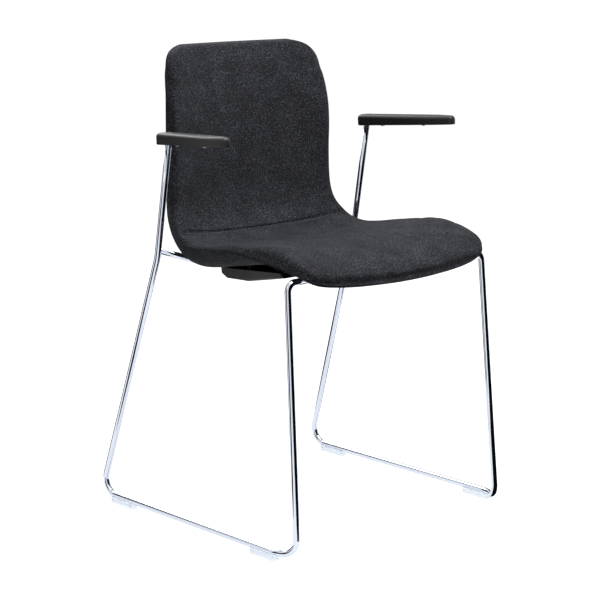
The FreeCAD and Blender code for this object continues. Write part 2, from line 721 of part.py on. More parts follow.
# Arm pads on plates welded to the ends of the rods
arm_screw_places = []
for side, sign in SIDES.items():
    body = doc.addObject("PartDesign::Body", f"arm_pad_{side}_block")
    sketch = new_sketch(body, f"arm_pad_{side}_outline", "XY_Plane")
    outline(sketch, [
        (f"{sign} * sizes.pad_outer", "sizes.pad_rear_overhang"),
        (f"{-sign} * sizes.pad_inner", "sizes.pad_rear_overhang"),
        (f"{-sign} * sizes.pad_inner", "-sizes.pad_kink"),
        (f"{-sign} * sizes.pad_tip_inner", "-sizes.pad_length"),
        (f"{sign} * sizes.pad_tip_outer", "-sizes.pad_length"),
        (f"{sign} * sizes.pad_outer", "-sizes.pad_kink"),
    ])
    block = body.newObject("PartDesign::Pad", f"arm_pad_{side}_pad")
    block.Profile = sketch
    block.setExpression("Length", "sizes.pad_thickness")
    sketch.Visibility = False
    doc.recompute()
    wedge = new_sketch(body, f"arm_pad_{side}_slope", "YZ_Plane")
    outline(wedge, [
        ("2 * sizes.pad_rear_overhang", "2 * sizes.pad_thickness"),
        ("-1.2 * sizes.pad_length", "2 * sizes.pad_thickness"),
        ("-1.2 * sizes.pad_length", "sizes.pad_thickness - 1.2 * (sizes.pad_thickness - sizes.pad_tip_thickness)"),
        ("2 * sizes.pad_rear_overhang", "sizes.pad_thickness"),
    ])
    slope = body.newObject("PartDesign::Pocket", f"arm_pad_{side}_sloped_top")
    slope.Profile = wedge
    slope.Midplane = True
    slope.setExpression("Length", "6 * sizes.pad_outer")
    wedge.Visibility = False

    def upright_near(y, edge):
        middle = edge.CenterOfMass
        return abs(edge.tangentAt(edge.FirstParameter).z) > 0.9 and abs(middle.y - y) < 0.5

    rounded(body, f"arm_pad_{side}_rear", "sizes.pad_rear_corner",
            lambda edge: upright_near(size("pad_rear_overhang"), edge))
    rounded(body, f"arm_pad_{side}_tip", "sizes.pad_tip_corner",
            lambda edge: upright_near(-size("pad_length"), edge))
    rounded(body, f"arm_pad_{side}_crown", "sizes.pad_crown_round",
            lambda edge: edge.BoundBox.ZMin > size("pad_tip_thickness") - 1.5)
    rounded(body, f"arm_pad_{side}_base", "sizes.pad_base_round",
            lambda edge: abs(edge.BoundBox.ZMax) < 0.01)
    pad_base_height = size("arm_top_height") - size("pad_base_drop")
    share = (pad_base_height - size("rear_joint_height")) / (size("arm_top_height") - size("rear_joint_height"))
    seat_x = size("rear_joint_x") + share * (size("arm_top_x") - size("rear_joint_x"))
    seat_y = size("rear_joint_y") + share * (size("arm_top_y") - size("rear_joint_y"))
    turn = Rotation(up, sign * size("pad_toe_out")).multiply(Rotation(Vector(1, 0, 0), -size("pad_rise")))
    place = Placement(Vector(sign * seat_x, seat_y, pad_base_height), turn)
    body.Placement = place
    plate = doc.addObject("Part::Box", f"arm_plate_{side}_blank")
    bind(plate, Length="sizes.arm_plate_width", Width="sizes.arm_plate_length", Height="sizes.arm_plate_thickness")
    outset = sign * size("arm_plate_outset")
    corner = Vector(outset - size("arm_plate_width") / 2, size("arm_plate_rear") - size("arm_plate_length"), 0)
    plate.Placement = place.multiply(Placement(corner, Rotation()))
    holes = []
    bores = []
    for k in range(2):
        spot = Vector(outset, -size("arm_screw_first") - k * size("arm_screw_pitch"), 0)
        bore = doc.addObject("Part::Cylinder", f"arm_pad_{side}_bore_{k + 1}")
        bind(bore, Radius="sizes.small_screw_diameter / 2", Height="sizes.small_screw_length")
        bore.Placement = place.multiply(Placement(spot, Rotation()))
        bores.append(bore)
        hole = doc.addObject("Part::Cylinder", f"arm_plate_{side}_hole_{k + 1}")
        bind(hole, Radius="sizes.small_screw_diameter / 2 + sizes.screw_clearance",
             Height="3 * sizes.arm_plate_thickness")
        hole.Placement = place.multiply(Placement(spot - Vector(0, 0, size("arm_plate_thickness")), Rotation()))
        holes.append(hole)
        arm_screw_places.append(place.multiply(Placement(spot, Rotation())))
    arm_plate = keep(cut(f"arm_plate_{side}", plate, holes + [side_frame[side]]), f"arm_plate_{side}")
    keep(cut(f"arm_pad_{side}", body, [plate, side_frame[side]] + bores), f"arm_pad_{side}")

copies("arm_pad_screws", small_screw, arm_screw_places)
copies("tray_screws", small_screw, tray_places)

doc.recompute()
for obj in doc.Objects:
    if "Invalid" in obj.State or "Error" in obj.State:
        raise RuntimeError(f"{obj.Name} failed: {obj.State}")
for piece in parts:
    if piece.Shape.isNull() or not piece.Shape.isValid():
        raise RuntimeError(f"{piece.Label} has no valid shape")

os.makedirs("parts", exist_ok=True)
for piece in parts:
    piece.Shape.exportStep(f"parts/{piece.Label}.step")
    box = piece.Shape.BoundBox
    print(f"{piece.Label}: {len(piece.Shape.Solids)} solids, {piece.Shape.Volume:.0f} mm3, "
          f"{box.XMin:.1f}..{box.XMax:.1f} {box.YMin:.1f}..{box.YMax:.1f} {box.ZMin:.1f}..{box.ZMax:.1f}")
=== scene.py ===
import math

import bmesh
import bpy
import numpy as np
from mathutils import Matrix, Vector, noise


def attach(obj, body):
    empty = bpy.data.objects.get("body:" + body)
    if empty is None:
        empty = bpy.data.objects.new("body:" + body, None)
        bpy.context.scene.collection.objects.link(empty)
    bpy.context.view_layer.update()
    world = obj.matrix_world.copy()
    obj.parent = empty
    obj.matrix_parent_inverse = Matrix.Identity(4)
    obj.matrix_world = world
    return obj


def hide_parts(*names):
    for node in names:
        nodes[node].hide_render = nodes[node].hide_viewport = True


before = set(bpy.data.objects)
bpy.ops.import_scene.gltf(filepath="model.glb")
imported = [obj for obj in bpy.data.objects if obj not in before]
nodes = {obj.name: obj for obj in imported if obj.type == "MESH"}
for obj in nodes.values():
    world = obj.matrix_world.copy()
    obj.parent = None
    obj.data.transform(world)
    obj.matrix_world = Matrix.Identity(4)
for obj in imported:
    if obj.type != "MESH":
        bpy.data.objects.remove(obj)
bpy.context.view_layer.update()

# Stacking visitor chair on a sled base of one bent rod size.
# The sitter faces -Y and +X is the sitter's left. Lengths are in metres.

MM = 0.001
scene = bpy.context.scene
scene.view_settings.view_transform = "Standard"


# Camera at the angle of the photograph

CAMERA_TARGET = (0.0, 0.010, 0.365)
CAMERA_AZIMUTH = -42.2
CAMERA_ELEVATION = 11.2
CAMERA_DISTANCE = 3.3363
CAMERA_LENS = 113.8


def around(target, azimuth, elevation, distance):
    """Place at a distance from the target, its azimuth in degrees from the sitter's front."""
    turn = math.radians(azimuth)
    lift = math.radians(elevation)
    out = Vector((math.sin(turn) * math.cos(lift), -math.cos(turn) * math.cos(lift), math.sin(lift)))
    return Vector(target) + out * distance


def aimed(name, data, place, target):
    """Object that looks from its place at the target."""
    piece = bpy.data.objects.new(name, data)
    piece.location = place
    piece.rotation_euler = (Vector(target) - Vector(place)).to_track_quat("-Z", "Y").to_euler()
    scene.collection.objects.link(piece)
    return piece


camera_data = bpy.data.cameras.new("camera")
camera_data.lens = CAMERA_LENS
camera_data.sensor_width = 36.0
camera_place = around(CAMERA_TARGET, CAMERA_AZIMUTH, CAMERA_ELEVATION, CAMERA_DISTANCE)
scene.camera = aimed("camera", camera_data, camera_place, CAMERA_TARGET)


# Materials

def linear(code):
    """Linear colour of an sRGB hex value."""
    parts = [int(code[k:k + 2], 16) / 255 for k in (1, 3, 5)]
    return [p / 12.92 if p <= 0.04045 else ((p + 0.055) / 1.055) ** 2.4 for p in parts] + [1.0]


def add(tree, kind, inputs=None, stops=(), **settings):
    """Node of a kind with its settings and colour stops, its inputs set to values or linked.

    A node given as an input stands for its first output.
    """
    made = tree.nodes.new(kind)
    for key, value in settings.items():
        setattr(made, key, value)
    for key, value in (inputs or {}).items():
        if isinstance(value, bpy.types.Node):
            value = value.outputs[0]
        if isinstance(value, bpy.types.NodeSocket):
            tree.links.new(value, made.inputs[key])
        else:
            made.inputs[key].default_value = value
    while stops and len(made.color_ramp.elements) < len(stops):
        made.color_ramp.elements.new(0.5)
    for number, (place, code) in enumerate(stops):
        made.color_ramp.elements[number].position = place
        made.color_ramp.elements[number].color = linear(code)
    return made


def new_material(name):
    """Empty material and its node tree."""
    material = bpy.data.materials.new(name)
    material.use_nodes = True
    material.node_tree.nodes.clear()
    return material, material.node_tree


def surfaced(material, inputs):
    """The material, given a principled surface with these inputs."""
    surface = add(material.node_tree, "ShaderNodeBsdfPrincipled", inputs)
    add(material.node_tree, "ShaderNodeOutputMaterial", {"Surface": surface})
    return material


def grain(size_mm, detail=3.0, roughness=0.55):
    """Noise inputs for patches of about the given size."""
    return {"Scale": 1 / (size_mm * MM), "Detail": detail, "Roughness": roughness}


def chromed_steel():
    # Drawn steel rod, polished and chrome plated: a hard mirror with faint polishing drift
    material, tree = new_material("chrome_plated_steel_rod")
    spots = add(tree, "ShaderNodeTexCoord").outputs
    haze = add(tree, "ShaderNodeTexNoise", {"Vector": spots["Object"], **grain(26.0)})
    drift = add(tree, "ShaderNodeTexNoise", {"Vector": spots["Object"], **grain(9.0, 1.0)})
    return surfaced(material, {
        "Base Color": linear("#CDD3DF"), "Metallic": 1.0,
        "Roughness": add(tree, "ShaderNodeMapRange", {"Value": haze, "To Min": 0.035, "To Max": 0.10}),
        "Normal": add(tree, "ShaderNodeBump", {"Height": drift, "Distance": 0.012 * MM})})


def worked_metal(name, colour, grain_mm, smoothest, roughest):
    """Metal whose shine drifts between two roughnesses in patches of one size."""
    material, tree = new_material(name)
    spots = add(tree, "ShaderNodeTexCoord").outputs
    marks = add(tree, "ShaderNodeTexNoise", {"Vector": spots["Object"], **grain(grain_mm)})
    shine = add(tree, "ShaderNodeMapRange", {"Value": marks, "To Min": smoothest, "To Max": roughest})
    return surfaced(material, {"Base Color": linear(colour), "Metallic": 1.0, "Roughness": shine})


# Yarn pitch is 0.9 mm on the real cloth, drawn at 1.8 mm so that it shows
YARN_PITCH_MM = 1.8
# A wave texture at scale 1 has about three bands in one unit
WAVE_BANDS = 3.0
FLECK_MM = 2.3
FLECK_SHARE = 0.88
CLOUD_MM = 38.0
MELANGE = ((0.38, "#0C0D0F"), (0.46, "#1A1B1F"), (0.54, "#2D2E33"), (0.62, "#56585F"))


def wool_fabric():
    # Woven wool upholstery, melange yarn: charcoal with lighter and darker fibres that lie
    # in small flecks, a matt surface and a soft bright rim where it turns away
    material, tree = new_material("woven_wool_upholstery")
    spots = add(tree, "ShaderNodeTexCoord").outputs
    yarns = []
    for turn in (0.0, math.pi / 2):
        turned = add(tree, "ShaderNodeMapping", {"Vector": spots["UV"], "Rotation": (0.0, 0.0, turn)})
        yarns.append(add(tree, "ShaderNodeTexWave", {
            "Vector": turned, "Scale": 1 / (YARN_PITCH_MM * MM * WAVE_BANDS), "Distortion": 1.6,
            "Detail": 2.0, "Detail Scale": 1.5}, wave_profile="SIN").outputs["Fac"])
    weave = add(tree, "ShaderNodeMath", {0: yarns[0], 1: yarns[1]}, operation="MAXIMUM")
    flecks = add(tree, "ShaderNodeTexNoise", {"Vector": spots["Object"], **grain(FLECK_MM, 3.0, 0.8)})
    clouds = add(tree, "ShaderNodeTexNoise", {"Vector": spots["Object"], **grain(CLOUD_MM, 2.0)})
    fine = add(tree, "ShaderNodeMath", {0: flecks, 1: FLECK_SHARE}, operation="MULTIPLY")
    broad = add(tree, "ShaderNodeMath", {0: clouds, 1: 1 - FLECK_SHARE}, operation="MULTIPLY")
    tone = add(tree, "ShaderNodeMath", {0: fine, 1: broad}, operation="ADD")
    colour = add(tree, "ShaderNodeValToRGB", {"Fac": tone}, stops=MELANGE)
    # Painted shade: the cloth's colour is darkened towards near black in the gaps between the yarns, where
    # shade falls
    weave_gap_shade = add(tree, "ShaderNodeMapRange", {"Value": weave, "To Min": 0.35, "To Max": 0.0})
    # A Mix node's colours are its inputs 6 and 7 and its output 2
    cloth = add(tree, "ShaderNodeMix", {0: weave_gap_shade, 6: colour, 7: linear("#0E0F10")}, data_type="RGBA")
    woven = add(tree, "ShaderNodeBump", {"Height": weave, "Distance": 0.5 * MM})
    fuzzy = add(tree, "ShaderNodeBump", {"Height": flecks, "Distance": 0.35 * MM, "Normal": woven})
    return surfaced(material, {
        "Base Color": cloth.outputs[2], "Roughness": 0.92, "Normal": fuzzy, "Specular IOR Level": 0.22,
        "Sheen Weight": 0.12, "Sheen Roughness": 0.4, "Sheen Tint": linear("#9A9CA3")})


def sewing_thread():
    # Bonded polyester thread, twisted: a shade lighter than the cloth, with a slight shine
    material, tree = new_material("twisted_polyester_thread")
    spots = add(tree, "ShaderNodeTexCoord").outputs
    plies = add(tree, "ShaderNodeTexNoise", {"Vector": spots["Object"], **grain(1.2)})
    tones = ((0.3, "#2E2F33"), (0.7, "#46484D"))
    return surfaced(material, {
        "Base Color": add(tree, "ShaderNodeValToRGB", {"Fac": plies}, stops=tones),
        "Roughness": 0.55, "Sheen Weight": 0.2})


def grained_plastic(name, dark, light, grain_mm, depth_mm, roughness):
    """Moulded plastic with a fine leather-like grain from the tool."""
    material, tree = new_material(name)
    spots = add(tree, "ShaderNodeTexCoord").outputs
    cells = add(tree, "ShaderNodeTexVoronoi", {"Vector": spots["Object"], "Scale": 1 / (grain_mm * MM)},
                feature="SMOOTH_F1")
    drift = add(tree, "ShaderNodeTexNoise", {"Vector": spots["Object"], **grain(30.0)})
    return surfaced(material, {
        "Base Color": add(tree, "ShaderNodeValToRGB", {"Fac": drift}, stops=((0.3, dark), (0.7, light))),
        "Roughness": add(tree, "ShaderNodeMapRange", {
            "Value": drift, "To Min": roughness - 0.06, "To Max": roughness + 0.06}),
        "Normal": add(tree, "ShaderNodeBump", {"Height": cells, "Distance": depth_mm * MM}),
        "Specular IOR Level": 0.45})


def clear_plastic():
    # Injection moulded clear polycarbonate: see-through with a faint blue tint
    # and fine scuffs from the floor
    material, tree = new_material("moulded_clear_polycarbonate")
    spots = add(tree, "ShaderNodeTexCoord").outputs
    scuffs = add(tree, "ShaderNodeTexNoise", {"Vector": spots["Object"], **grain(2.5)})
    return surfaced(material, {
        "Base Color": linear("#DDE6F2"), "IOR": 1.58, "Transmission Weight": 0.86,
        "Roughness": add(tree, "ShaderNodeMapRange", {"Value": scuffs, "To Min": 0.06, "To Max": 0.22})})


def moulded_foam():
    # Cold-cured polyurethane foam: pale, matt and finely pitted
    material, tree = new_material("moulded_polyurethane_foam")
    spots = add(tree, "ShaderNodeTexCoord").outputs
    pits = add(tree, "ShaderNodeTexNoise", {"Vector": spots["Object"], **grain(2.0, 5.0)})
    tones = ((0.3, "#8E8B80"), (0.7, "#B9B5A6"))
    return surfaced(material, {
        "Base Color": add(tree, "ShaderNodeValToRGB", {"Fac": pits}, stops=tones), "Roughness": 0.95,
        "Normal": add(tree, "ShaderNodeBump", {"Height": pits, "Distance": 0.4 * MM})})


CHROME = chromed_steel()
# Cut and welded steel plate, plated with the frame: duller than the rod, its shine patchy
PLATE = worked_metal("chrome_plated_steel_plate", "#D8DADD", 5.0, 0.16, 0.34)
# Rolled steel screw, zinc plated: a soft grey shine in small patches
ZINC = worked_metal("zinc_plated_screw", "#B9BCC0", 1.5, 0.25, 0.45)
# Turned brass insert: yellow metal with fine tool marks
BRASS = worked_metal("turned_brass", "#C9A255", 0.8, 0.22, 0.4)
WOOL = wool_fabric()
THREAD = sewing_thread()
# Self-skinning polyurethane arm pad: dark grey, dry to the touch, with a fine moulded grain
PAD = grained_plastic("moulded_polyurethane_skin", "#17181A", "#202123", 1.6, 0.05, 0.46)
# Moulded polypropylene: black, low sheen, slightly rough from the tool
TRAY = grained_plastic("moulded_black_polypropylene", "#121315", "#1B1C1E", 1.4, 0.04, 0.42)
# Moulded polypropylene core under the upholstery: dark grey, with a coarser grain
CORE = grained_plastic("moulded_grey_polypropylene", "#1C1D1F", "#242527", 2.4, 0.05, 0.5)
CLEAR = clear_plastic()
FOAM = moulded_foam()

NODE_MATERIALS = {
    "side_frame": CHROME, "front_cross": CHROME, "rear_cross": CHROME, "mount_plate": PLATE,
    "arm_plate": PLATE, "inner_shell": CORE, "seat_foam": FOAM, "rear_foam": FOAM, "front_cover": WOOL,
    "rear_cover": WOOL, "threaded": BRASS, "seat_screws": ZINC, "arm_pad_screws": ZINC, "tray_screws": ZINC,
    "arm_pad": PAD, "glide": CLEAR, "stack_tray": TRAY,
}


def material_for(name):
    """Material of the sub-part that the node's name starts with."""
    return next(material for start, material in NODE_MATERIALS.items() if name.startswith(start))


for name, node in nodes.items():
    node.data.materials.clear()
    node.data.materials.append(material_for(name))


# Mesh helpers

def finished(name, mesh, material, replaced=()):
    """Object for a finished mesh, riding on the chair and standing for its solids."""
    mesh.materials.clear()
    mesh.materials.append(material)
    piece = bpy.data.objects.new(name, mesh)
    scene.collection.objects.link(piece)
    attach(piece, "root")
    if replaced:
        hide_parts(*replaced)
    return piece


def closed_mesh(name, points, faces):
    """Smooth mesh with its doubles merged and its faces turned outwards."""
    mesh = bpy.data.meshes.new(name)
    mesh.from_pydata([tuple(p) for p in points], [], faces)
    work = bmesh.new()
    work.from_mesh(mesh)
    bmesh.ops.remove_doubles(work, verts=work.verts, dist=1e-6)
    bmesh.ops.recalc_face_normals(work, faces=work.faces)
    for face in work.faces:
        face.smooth = True
    work.to_mesh(mesh)
    work.free()
    return mesh


def eased_copy(name, edge_angle):
    """Smoothly shaded copy of a solid whose edges stay sharp past an angle in degrees."""
    mesh = nodes[name].data.copy()
    mesh.name = f"{name}_eased"
    work = bmesh.new()
    work.from_mesh(mesh)
    bmesh.ops.remove_doubles(work, verts=work.verts, dist=2e-6)
    for face in work.faces:
        face.smooth = True
    limit = math.radians(edge_angle)
    for edge in work.edges:
        if len(edge.link_faces) == 2 and edge.calc_face_angle(0.0) > limit:
            edge.smooth = False
    work.to_mesh(mesh)
    work.free()
    return mesh


EDGE_ANGLE = 32.0
# The tray's rounded edges turn further between two of its faces
TRAY_EDGE_ANGLE = 62.0
SLOTS = {
    "mount_plate": "welded_plate", "arm_plate": "welded_plate", "arm_pad": "arm_pad_plastic",
    "glide": "clear_glide", "stack_tray": "tray_plastic",
}
for name in sorted(nodes):
    if name.endswith("screws") or not name.startswith(tuple(SLOTS)):
        continue
    copy = eased_copy(name, TRAY_EDGE_ANGLE if name == "stack_tray" else EDGE_ANGLE)
    finished(f"{name}_piece", copy, material_for(name), [name])


# Bent rod frame: straight runs joined by tangent arcs

ROD_RADIUS = 5.5 * MM
# One side rod from the arm to the front bar, each corner as x, y, z and its bend, in millimetres
SIDE_ROD = {
    "arm_end": (231.4, 81.0, 661.0, None),
    "rear_leg_top": (232.2, 116.7, 454.4, 120.0),
    "runner_rear": (255.0, 258.0, 13.0, 28.0),
    "runner_turn_in": (255.0, -209.0, 13.0, 45.0),
    "front_foot": (237.5, -245.0, 13.0, 24.0),
    "front_leg_top": (226.2, -210.0, 454.0, 16.0),
    "front_bar_end": (188.0, -210.0, 454.0, None),
}
# Right half of the rear bar, which dips below the seat
REAR_BAR_END = (229.5, 114.5, 466.0)
REAR_BAR_DIP = (118.0, 116.7, 430.0)
REAR_BAR_BEND = 70.0


def bent_line(corners, radii):
    """Points along runs and tangent arcs, about 2 degrees apart in the arcs."""
    points = [Vector(corners[0])]
    for k, radius in enumerate(radii, start=1):
        corner = Vector(corners[k])
        before = (Vector(corners[k - 1]) - corner).normalized()
        after = (Vector(corners[k + 1]) - corner).normalized()
        half = before.angle(after) / 2
        centre = corner + (before + after).normalized() * (radius / math.sin(half))
        enter = corner + before * (radius / math.tan(half))
        leave = corner + after * (radius / math.tan(half))
        arm = enter - centre
        turn = math.pi - 2 * half
        axis = arm.cross(leave - centre).normalized()
        steps = max(4, int(math.degrees(turn) / 2))
        side = axis.cross(arm)
        points += [centre + arm * math.cos(turn * s / steps) + side * math.sin(turn * s / steps)
                   for s in range(steps + 1)]
    points.append(Vector(corners[-1]))
    return points


def tube(name, line, radius, segments=40):
    """Closed round tube along a line of points."""
    rings = []
    heading = (line[1] - line[0]).normalized()
    side = heading.orthogonal().normalized()
    for k, point in enumerate(line):
        ahead = (line[min(k + 1, len(line) - 1)] - line[max(k - 1, 0)]).normalized()
        side = (side - ahead * side.dot(ahead)).normalized()
        other = ahead.cross(side)
        rings.append([point + side * (radius * math.cos(a)) + other * (radius * math.sin(a))
                      for a in np.linspace(0, 2 * math.pi, segments, endpoint=False)])
    points = [p for ring in rings for p in ring]
    faces = [(k * segments + j, k * segments + (j + 1) % segments,
              (k + 1) * segments + (j + 1) % segments, (k + 1) * segments + j)
             for k in range(len(rings) - 1) for j in range(segments)]
    faces += [tuple(range(segments)), tuple((len(rings) - 1) * segments + j for j in range(segments))]
    mesh = closed_mesh(name, points, faces)
    for face in mesh.polygons:
        face.use_smooth = len(face.vertices) == 4
    return mesh


for side, sign in (("left", 1), ("right", -1)):
    corners = [(x * sign * MM, y * MM, z * MM) for x, y, z, _ in SIDE_ROD.values()]
    bends = [bend * MM for *_, bend in SIDE_ROD.values() if bend]
    rod = tube(f"side_rod_{side}", bent_line(corners, bends), ROD_RADIUS)
    finished(f"side_rod_{side}", rod, CHROME, [f"side_frame_{side}"])
bar_x, bar_y, bar_z, _ = SIDE_ROD["front_bar_end"]
front_line = [Vector((x * MM, bar_y * MM, bar_z * MM)) for x in (-bar_x, bar_x)]
finished("front_rod", tube("front_rod", front_line, ROD_RADIUS), CHROME, ["front_cross_bar"])
rear_corners = [(x * sign * MM, y * MM, z * MM) for sign, (x, y, z) in (
    (-1, REAR_BAR_END), (-1, REAR_BAR_DIP), (1, REAR_BAR_DIP), (1, REAR_BAR_END))]
rear_line = bent_line(rear_corners, [REAR_BAR_BEND * MM] * 2)
finished("rear_rod", tube("rear_rod", rear_line, ROD_RADIUS), CHROME, ["rear_cross_bar"])


# Moulded seat: the side profile, as the solids have it, and its stations, in millimetres

SEAT_SLOPE = math.radians(10.0)
NOSE_RADIUS, NOSE_TURN = 63.0, math.radians(49.0)
CROWN_RADIUS, CROWN_TURN = 565.0, math.radians(16.0)
SEAT_FLAT = 90.0
BEND_RADIUS, BEND_TURN = 107.0, math.radians(98.0)
BACK_FLAT = 143.0
TOP_RADIUS, TOP_TURN = 430.0, math.radians(16.0)
# Runs from the front rim to the top rim as length and turn
RUNS = [(NOSE_RADIUS * NOSE_TURN, -NOSE_TURN), (CROWN_RADIUS * CROWN_TURN, -CROWN_TURN), (SEAT_FLAT, 0.0),
        (BEND_RADIUS * BEND_TURN, BEND_TURN), (BACK_FLAT, 0.0), (TOP_RADIUS * TOP_TURN, -TOP_TURN)]
JOINTS = [sum(length for length, _ in RUNS[:k]) for k in range(len(RUNS) + 1)]
PROFILE_LENGTH = JOINTS[-1]
FIRST_HEADING = -SEAT_SLOPE - sum(turn for _, turn in RUNS[:3])
SEAT_REAR = np.array([0.0, 43.2, 446.8])
# Travels of the stations, three of them spread over the crown
CROWN_SHARES = (0.28, 0.63, 0.96)
CROWN = JOINTS[2] - JOINTS[1]
TRAVELS = [0.0, JOINTS[1], *(JOINTS[1] + share * CROWN for share in CROWN_SHARES), JOINTS[3],
           (JOINTS[3] + JOINTS[4]) / 2, JOINTS[4], (JOINTS[4] + JOINTS[5]) / 2, JOINTS[5], JOINTS[6]]
# Measures at the stations from the front rim to the top rim. They are those of the solids, but
# rear_edge is up to 10 mm fuller round the bend and the waist, where the photo's flank bulges
STATIONS = {
    "width": (221, 221, 226, 232, 231, 212, 198, 189, 188, 186.5, 171),
    "rise": (2, 2, 8, 21, 23.5, 30, 30, 28, 28, 30, 20),
    "front_mid": (12, 13, 18, 21, 22, 22, 22, 22, 22, 22, 20),
    "front_edge": (12, 29, 27, 14, 9.5, 6, 7, 16, 18, 18, 17),
    "rear_mid": (12, 3.5, 5.5, 12, 14, 15, 16, 13, 12, 12, 9),
    "rear_edge": (12, 3.5, 10, 27, 34, 50, 58, 34, 16, 12, 9),
}
FRONT_CORNER = 40.0
TOP_CORNER = 50.0
FRONT_BOW = 20.0
TOP_BOW = 6.0
BOW_REACH = 170.0
LIP_OVERHANG = 10.0
EDGE_ROUND = {"front": 14.0, "rear": 60.0}
EDGE_SHARES = {"front": ((0.0, 0.0), (0.06, 0.6), (0.35, 1.0), (1.0, 1.0)),
               "rear": ((0.0, 0.0), (0.05, 0.38), (0.35, 0.87), (1.0, 1.0))}
# How steeply the seat's dish and the padding grow from the middle to the edge
DISH_POWER = 2.2
PADDING_POWER = {"front": 2.2, "rear": 4}
INNER_SHARES = (0.72, 0.38, 0.0)
CORNER_ROWS = ((0.0, 1.0, 0.0), (0.03, 0.8, 0.55), (0.09, 0.52, 1.0), (0.25, 0.22, 1.0), (0.57, 0.03, 1.0))
LIP_SHARES = (0.0, 0.8, 1.0, 0.6)
MIDDLE_SPACING = 48.0


def heading_vector(heading):
    """Unit vector in the side plane at an angle above the rearward direction."""
    return np.array([0.0, math.cos(heading), math.sin(heading)])


def walk(travel):
    """Point and heading on the profile, walked from the front rim as if it began at zero."""
    if travel < 0:
        return heading_vector(FIRST_HEADING) * travel, FIRST_HEADING
    point = np.zeros(3)
    heading = FIRST_HEADING
    for length, turn in RUNS:
        step = min(max(travel, 0.0), length)
        part_turn = turn * step / length
        chord = 2 * step / part_turn * math.sin(part_turn / 2) if abs(part_turn) > 1e-9 else step
        point = point + heading_vector(heading + part_turn / 2) * chord
        heading += part_turn
        travel -= length
    return point, heading


PROFILE_SHIFT = SEAT_REAR - walk(JOINTS[3])[0]


def measure_at(column, travel):
    """Smooth value of one station measure at a travel along the profile."""
    values = STATIONS[column]
    last = len(values) - 1
    slopes = [(values[min(k + 1, last)] - values[max(k - 1, 0)])
              / (TRAVELS[min(k + 1, last)] - TRAVELS[max(k - 1, 0)]) for k in range(last + 1)]
    travel = min(max(travel, 0.0), PROFILE_LENGTH)
    k = max(j for j in range(last) if TRAVELS[j] <= travel)
    span = TRAVELS[k + 1] - TRAVELS[k]
    f = (travel - TRAVELS[k]) / span
    rise = values[k + 1] - values[k]
    start = slopes[k] * span
    end = slopes[k + 1] * span
    return values[k] + f * start + f * f * (3 * rise - 2 * start - end) + f ** 3 * (start + end - 2 * rise)


def profile_rows():
    """Rows from front rim to top rim as (travel, narrowing, depth share)."""
    start = FRONT_CORNER
    stop = PROFILE_LENGTH - TOP_CORNER
    count = round((stop - start) / MIDDLE_SPACING)
    rows = [(s * FRONT_CORNER, loss * FRONT_CORNER, depth) for s, loss, depth in CORNER_ROWS]
    rows += [(start + (stop - start) * k / count, 0.0, 1.0) for k in range(count + 1)]
    rows += [(PROFILE_LENGTH - s * TOP_CORNER, loss * TOP_CORNER, depth)
             for s, loss, depth in reversed(CORNER_ROWS)]
    return rows


def bowed(travel, share):
    """Travel at a share of the half width, with both rims bowed out in their middle."""
    front = max(0.0, 1 - travel / BOW_REACH)
    top = max(0.0, 1 - (PROFILE_LENGTH - travel) / BOW_REACH)
    return travel + share ** 2 * (FRONT_BOW * front - TOP_BOW * top)


def control_grid(kind, filled=True):
    """Poles of the front or rear surface as x, y, z and travel; unfilled is the parting surface."""
    grid = []
    for number, (travel, narrowing, end_share) in enumerate(profile_rows()):
        full = measure_at("width", travel)
        half = full - narrowing
        edge_round = EDGE_ROUND[kind]
        side = [(half - s * edge_round, depth) for s, depth in EDGE_SHARES[kind]]
        side += [(s * (half - edge_round), 1.0) for s in INNER_SHARES]
        row = []
        for across, edge_share in side:
            share = across / full
            along = bowed(travel, share)
            depth = measure_at("rise", travel) * share ** DISH_POWER
            if kind == "rear" and number < len(LIP_SHARES):
                along -= LIP_OVERHANG * LIP_SHARES[number] * edge_share
            if filled:
                middle = measure_at(f"{kind}_mid", travel)
                edge = measure_at(f"{kind}_edge", travel)
                bulk = middle + (edge - middle) * share ** PADDING_POWER[kind]
                depth += bulk * min(edge_share, end_share) * (1 if kind == "front" else -1)
            point, heading = walk(along)
            place = point + PROFILE_SHIFT + heading_vector(heading + math.pi / 2) * depth
            row.append([across, place[1], place[2], along])
        mirrored = [[-p[0], *p[1:]] for p in row[:-1]]
        grid.append(mirrored + row[::-1])
    return np.array(grid)


def spline_weights(count, params):
    """Weights of the poles of a clamped uniform cubic spline at each parameter."""
    knots = np.array([0.0] * 3 + list(range(count - 2)) + [count - 3.0] * 3)
    params = np.clip(params, 0.0, count - 3.0 - 1e-9)
    weights = ((knots[None, :-1] <= params[:, None]) & (params[:, None] < knots[None, 1:])).astype(float)
    for degree in (1, 2, 3):
        low = knots[:-degree - 1]
        high = knots[degree + 1:]
        rising = np.where(knots[degree:-1] > low, knots[degree:-1] - low, 1.0)
        falling = np.where(high > knots[1:-degree], high - knots[1:-degree], 1.0)
        first = (params[:, None] - low) / rising * weights[:, :-1]
        second = (high - params[:, None]) / falling * weights[:, 1:]
        weights = first + second
    return weights


def spaced_params(line, params, wanted):
    """Parameters along a dense line at the wanted spacing, and their arc lengths."""
    steps = np.linalg.norm(np.diff(line, axis=0), axis=1)
    travelled = np.concatenate([[0.0], np.cumsum(steps)])
    total = travelled[-1]
    marks = [0.0]
    while marks[-1] < total:
        marks.append(marks[-1] + wanted(marks[-1], total))
    marks = np.array(marks) * total / marks[-1]
    return np.interp(marks, travelled, params), marks


# Cross seam between back and seat: its travel on the profile and half its length, in millimetres
SEAM_TRAVEL = 387.0
SEAM_HALF = 189.0
# Both covers turn in towards the seam between them
SEAM_TUCK = 1.8
# Rows and columns from the rim to the ones that show which way is in
RIM_NEIGHBOUR = 4
# Mesh step on the open cloth, at a seam, and its growth away from the seam
CLOTH_STEP = 7.0
SEAM_STEP = 1.3
STEP_GROWTH = 0.22
